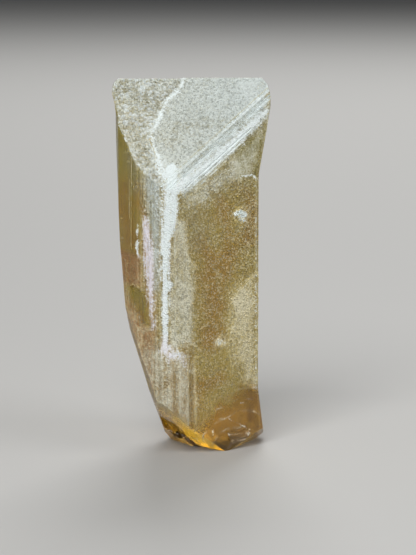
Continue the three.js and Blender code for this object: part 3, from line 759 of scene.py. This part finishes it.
# The body and its tints, then the painted shade in the grain's hollows and furrows, then the frost.
HONEY = linear("#E6D068")
AMBER = linear("#D2A02C")
OLIVE = linear("#CFC150")
ROSE = linear("#DC9468")
MIST = linear("#A9B2A4")
CLEAR = linear("#DAA024")
SHADE = linear("#6C6230")
GREY_SHADE = linear("#737A70")
WARM_FROST = linear("#F6EECA")
COOL_FROST = linear("#E4EFED")
WHITE_FROST = linear("#F0FAF9")
LILAC_FROST = linear("#EEE2EC")
# The colour that the body lets through, how densely it takes up the rest, and how it bends light.
BODY_COLOUR = linear("#E8DC78")
BODY_DENSITY = 32
DANBURITE_IOR = 1.63
print("honey is", [round(c, 2) for c in HONEY[:3]], "in linear light")

# %% Patterns of the frost
RANGE = "ShaderNodeMapRange"
MIX = "ShaderNodeMix"
FINE_GRAIN_MM = 0.24
COARSE_GRAIN_MM = 0.48
# Etched danburite: the clear honey body glows through a frosted skin with fine painted sparks and
# painted shade in its grain, and the fresh break shines like glass, with painted glints on it.
danburite = bpy.data.materials.new("etched danburite")
danburite.use_nodes = True
skin = danburite.node_tree
skin.nodes.clear()
object_place = add(skin, "ShaderNodeTexCoord").outputs["Object"]
# Where each pattern is read, how wide its waves are in mm, and its detail.
PATTERNS = {
    "ragged": (object_place, 1.1, 5),
    "clouds": (object_place, 3.2, 4),
    "broad": (object_place, 6, 3),
    "upright": (squeezed(skin, object_place, UPRIGHT), 0.3, 3),
    "slanted": (squeezed(skin, object_place, SHOULDER), 0.3, 3),
}
pattern = {}
for name, (at, width, detail) in PATTERNS.items():
    noise = add(skin, "ShaderNodeTexNoise", {
        "Vector": at, "Scale": 1 / (width * MM), "Detail": detail,
    })
    pattern[name] = add(skin, MATHS, {0: noise, 1: 0.5}, operation="SUBTRACT")
fine_grain, coarse_grain = [
    add(skin, "ShaderNodeTexVoronoi", {"Vector": object_place, "Scale": 1 / (width * MM)})
    for width in (FINE_GRAIN_MM, COARSE_GRAIN_MM)
]
cell, crumb = [
    add(skin, "ShaderNodeSeparateColor", {0: grain.outputs["Color"]}).outputs
    for grain in (fine_grain, coarse_grain)
]
print("the frost has", len(pattern), "patterns, and its grains are", FINE_GRAIN_MM, "mm wide")

# %% Ragged edges
# How much each pattern counts in the edges.
SLANT_STRENGTH = 0.6
SPECKLE_STRENGTH = 0.5
STREAK_STRENGTH = 1.4
CLOUD_STRENGTH = 1.8
share = {
    name: add(skin, "ShaderNodeAttribute", attribute_name=name).outputs["Fac"]
    for name in (
        "white", "veil", "cool", "sugar", "slanted", "upright", "clear", "smooth", "amber", "rose",
        "rim",
    )
}
streaks = add(skin, MATHS, {0: pattern["upright"], 1: share["upright"]}, operation="MULTIPLY")
slants = add(skin, MATHS, {0: pattern["slanted"], 1: share["slanted"]}, operation="MULTIPLY")
streaks = add(skin, MATHS, {0: slants, 1: SLANT_STRENGTH, 2: streaks}, operation="MULTIPLY_ADD")
speckles = add(skin, MATHS, {0: cell[0], 1: 0.5}, operation="SUBTRACT")
speckled = add(skin, MATHS, {
    0: speckles, 1: SPECKLE_STRENGTH, 2: pattern["ragged"],
}, operation="MULTIPLY_ADD")
uneven = add(skin, MATHS, {0: streaks, 1: STREAK_STRENGTH, 2: speckled}, operation="MULTIPLY_ADD")
clouded = add(skin, MATHS, {
    0: pattern["clouds"], 1: CLOUD_STRENGTH, 2: uneven,
}, operation="MULTIPLY_ADD")
# What moves each edge and by how much, the shares where the finish starts and is full, and how
# it grows between them.
EDGES = {
    "white": (uneven, 0.7, 0.3, 0.85, "SMOOTHSTEP"),
    "veil": (clouded, 0.6, 0.1, 1.05, "SMOOTHSTEP"),
    "clear": (speckled, 0.7, 0.2, 0.9, "SMOOTHSTEP"),
    "amber": (pattern["broad"], 2, -0.1, 1, "SMOOTHSTEP"),
    "rose": (streaks, 0.8, 0, 1, "LINEAR"),
}
for name, (moved_by, amount, starts, full, growth) in EDGES.items():
    moved = add(skin, MATHS, {0: moved_by, 1: amount, 2: share[name]}, operation="MULTIPLY_ADD")
    share[name] = add(skin, RANGE, {
        "Value": moved, "From Min": starts, "From Max": full,
    }, interpolation_type=growth)
print("ragged edges:", list(EDGES))


# %% Grain, furrows and ripples
def faded(value, *fades):
    """The value times each rest where that amount is 1, and unchanged where the amount is 0."""
    for amount, rest in fades:
        factor = add(skin, RANGE, {"Value": amount, "To Min": 1, "To Max": rest})
        value = add(skin, MATHS, {0: value, 1: factor}, operation="MULTIPLY")
    return value


# The break's ripples ring the point in metres where the blow fell, and painted glints lie along
# them in the white. A wave texture of scale 1 repeats every 0.314 m.
BLOW = (0.013, -0.012, -0.004)
RIPPLE_MM = 1.6
WAVE_AT_SCALE_ONE = 0.314
RIPPLE_GLINT_STRENGTH = 0.4
frosted = faded(1.0, (share["clear"], 0), (share["smooth"], 0.15), (share["rose"], 0.5))
from_blow = add(skin, VECTORS, {0: object_place, 1: BLOW}, operation="SUBTRACT")
rings = add(skin, "ShaderNodeTexWave", {
    "Vector": from_blow, "Scale": WAVE_AT_SCALE_ONE / (RIPPLE_MM * MM), "Distortion": 2.5,
    "Detail": 2, "Detail Scale": 1.5,
}, wave_type="RINGS", rings_direction="SPHERICAL").outputs["Fac"]
# What draws each mark, the values where it starts and is full, and where it may lie.
MARKS = {
    # The sparkles are whiter crumbs of frost, with a painted glint on them.
    "sparkle": (cell[0], 0.45, 0.95, frosted),
    # The hollows and the furrows are painted shade in the grain.
    "hollow_shade": (cell[1], 0.4, 1, frosted),
    "crumb": (crumb[0], 0.45, 0.95, share["sugar"]),
    "furrow_shade": (pattern["upright"], 0.02, 0.18, share["upright"]),
    "ripple": (rings, 0.86, 1, share["clear"]),
    "thread": (pattern["clouds"], -0.04, 0.12, 1),
}
for name, (source, starts, full, where) in MARKS.items():
    shown = add(skin, RANGE, {
        "Value": source, "From Min": starts, "From Max": full,
    }, interpolation_type="SMOOTHSTEP")
    share[name] = add(skin, MATHS, {0: shown, 1: where}, operation="MULTIPLY")
# The pale edge line, bruise and painted highlight both, lies only where the skin is frosted.
share["bruise_and_highlight"] = add(skin, MATHS, {0: share["rim"], 1: frosted}, operation="MULTIPLY")
# The ripples' painted glints join the white crust.
ripple_glints = add(skin, MATHS, {0: share["ripple"], 1: share["thread"]}, operation="MULTIPLY")
ripple_glints = add(skin, MATHS, {0: ripple_glints, 1: RIPPLE_GLINT_STRENGTH}, operation="MULTIPLY")
share["white"] = add(skin, MATHS, {0: share["white"], 1: ripple_glints}, operation="MAXIMUM")
print("marks in the grain:", list(MARKS))

# %% Lay the colours on
frost_colour, shade_colour, white_colour = [
    add(skin, MIX, {0: share[name], 6: plain, 7: tinted}, data_type="RGBA")
    for name, plain, tinted in (
        ("cool", WARM_FROST, COOL_FROST),
        ("cool", SHADE, GREY_SHADE),
        ("rose", WHITE_FROST, LILAC_FROST),
    )
]
# From the inside out: the share, its strength, and the colour that it lays on.
COLOURS = [
    ("smooth", 1, OLIVE),
    ("amber", 1, AMBER),
    ("rose", 1, ROSE),
    ("cool", 0.7, MIST),
    ("clear", 1, CLEAR),
    ("veil", 1, frost_colour),
    # The furrows and the hollows lay painted shade on the grain.
    ("furrow_shade", 0.4, shade_colour),
    ("sparkle", 0.7, frost_colour),
    ("hollow_shade", 0.45, shade_colour),
    ("bruise_and_highlight", 0.6, frost_colour),
    ("crumb", 1, WHITE_FROST),
    ("white", 1, white_colour),
]
colour = HONEY
for name, strength, over in COLOURS:
    amount = add(skin, MATHS, {0: share[name], 1: strength}, operation="MULTIPLY")
    colour = add(skin, MIX, {0: amount, 6: colour, 7: over}, data_type="RGBA")
print("the colour has", len(COLOURS), "layers")

# %% Shine and grain
# How much light the frosted and the clear skin let through, how rough they and the white crust
# are, how deep the grain is, and how far each grain leans its own way, so that some catch light.
FROST_SEE_THROUGH = 0.8
CLEAR_SEE_THROUGH = 0.9
FROST_ROUGHNESS = 0.42
CHALK_ROUGHNESS = 0.7
GRAIN_DEPTH_MM = 0.12
GRAIN_TILT = 0.32
see_through = faded(
    FROST_SEE_THROUGH, (share["clear"], CLEAR_SEE_THROUGH / FROST_SEE_THROUGH),
    (share["sparkle"], 0.7), (share["bruise_and_highlight"], 0.4), (share["veil"], 0.35), (share["white"], 0.03),
)
roughness = faded(FROST_ROUGHNESS, (share["clear"], 0.48), (share["smooth"], 0.5))
chalky = add(skin, MATHS, {0: share["white"], 1: CHALK_ROUGHNESS}, operation="MULTIPLY")
roughness = add(skin, MATHS, {0: roughness, 1: chalky}, operation="MAXIMUM")
height = add(skin, MIX, {
    0: share["sugar"], 2: fine_grain.outputs["Distance"], 3: coarse_grain.outputs["Distance"],
})
height = add(skin, MATHS, {0: height, 1: frosted}, operation="MULTIPLY")
bumps = add(skin, "ShaderNodeBump", {
    "Height": height, "Distance": GRAIN_DEPTH_MM * MM, "Strength": 1,
})
lean = add(skin, VECTORS, {
    0: fine_grain.outputs["Color"], 1: (0.5, 0.5, 0.5),
}, operation="SUBTRACT")
tilt = add(skin, MATHS, {0: frosted, 1: GRAIN_TILT}, operation="MULTIPLY")
lean = add(skin, VECTORS, {0: lean, "Scale": tilt}, operation="SCALE")
leaning = add(skin, VECTORS, {0: bumps, 1: lean}, operation="ADD")
leaning = add(skin, VECTORS, {0: leaning}, operation="NORMALIZE")
print("the grain is", GRAIN_DEPTH_MM, "mm deep and leans by up to", GRAIN_TILT / 2)

# %% Surface and body
surface = add(skin, "ShaderNodeBsdfPrincipled", {
    "Base Color": colour, "Roughness": roughness, "IOR": DANBURITE_IOR,
    "Transmission Weight": see_through, "Normal": leaning,
})
inside = add(skin, "ShaderNodeVolumeAbsorption", {"Color": BODY_COLOUR, "Density": BODY_DENSITY})
add(skin, "ShaderNodeOutputMaterial", {"Surface": surface, "Volume": inside})
print("the finish has", len(skin.nodes), "nodes")

# %% Apply the relief
etching = crystal.modifiers.new("etched relief", "NODES")
etching.node_group = relief
inputs = {**RELIEF_SIZES, "Seed": SEED, "Finish": danburite}
for socket in relief.interface.items_tree:
    if socket.in_out == "INPUT" and socket.name in inputs:
        etching[socket.identifier] = inputs[socket.name]
evaluated = crystal.evaluated_get(bpy.context.evaluated_depsgraph_get())
etched_mesh = bpy.data.meshes.new_from_object(evaluated)
crystal.modifiers.remove(etching)
crystal.data = etched_mesh
print("the etched crystal has", len(etched_mesh.polygons), "triangles")

# %% [markdown]
# ## The floor
#
# The crystal stands on a pale, matt floor. A backdrop that curves up behind it would do too, but a
# wide flat floor is plainer, and shows best where the crystal rests.
# %% Floor
FLOOR_SIZE = 6
FLOOR_ROUGHNESS = 0.7
half = FLOOR_SIZE / 2
floor_corners = [(-half, -half, 0), (half, -half, 0), (half, half, 0), (-half, half, 0)]
floor_mesh = bpy.data.meshes.new("floor")
floor_mesh.from_pydata(floor_corners, [], [(0, 1, 2, 3)])
floor = bpy.data.objects.new("floor", floor_mesh)
bpy.context.scene.collection.objects.link(floor)
# Matt paper has no gloss, so the floor shows only a soft shadow.
paper = bpy.data.materials.new("matt paper")
paper.use_nodes = True
paper_skin = paper.node_tree.nodes["Principled BSDF"].inputs
paper_skin["Base Color"].default_value = linear("#BCBBB8")
paper_skin["Roughness"].default_value = FLOOR_ROUGHNESS
floor_mesh.materials.append(paper)
print("the floor is", FLOOR_SIZE, "m wide")

# %% [markdown]
# ## The light
#
# Small lamps would draw hard sparks on the frost and a hard shadow. Large soft lights show its
# grain gently: one from the upper left for the frosted faces, a lower one from the right for the
# right edge, and one behind that shines through the body.
# %% Lights
# Places and sizes are in metres, and the power is in watts.
LIGHTS = {
    "key": {"at": (-0.2, -0.58, 0.6), "size": 0.45, "power": 5.4},
    "right": {"at": (0.55, -0.25, 0.3), "size": 0.35, "power": 1.3},
    "back": {"at": (0.1, 0.7, 0.6), "size": 0.5, "power": 4.5},
}
SKY_STRENGTH = 0.12
target = Vector((0, 0, 0.03))
for name, light in LIGHTS.items():
    lamp = bpy.data.lights.new(name, "AREA")
    lamp.size = light["size"]
    lamp.energy = light["power"]
    holder = bpy.data.objects.new(name, lamp)
    holder.location = light["at"]
    holder.rotation_euler = (target - holder.location).to_track_quat("-Z", "Y").to_euler()
    bpy.context.scene.collection.objects.link(holder)
world = bpy.data.worlds.new("studio")
world.use_nodes = True
sky = world.node_tree.nodes["Background"].inputs
sky["Color"].default_value = linear("#C9CCCF")
sky["Strength"].default_value = SKY_STRENGTH
bpy.context.scene.world = world
bpy.context.scene.view_settings.view_transform = "Standard"
print("the crystal is lit by", list(LIGHTS))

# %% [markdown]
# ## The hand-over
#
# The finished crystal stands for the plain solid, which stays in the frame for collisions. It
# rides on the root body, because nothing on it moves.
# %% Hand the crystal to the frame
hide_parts("danburite_crystal")
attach(crystal, "root")
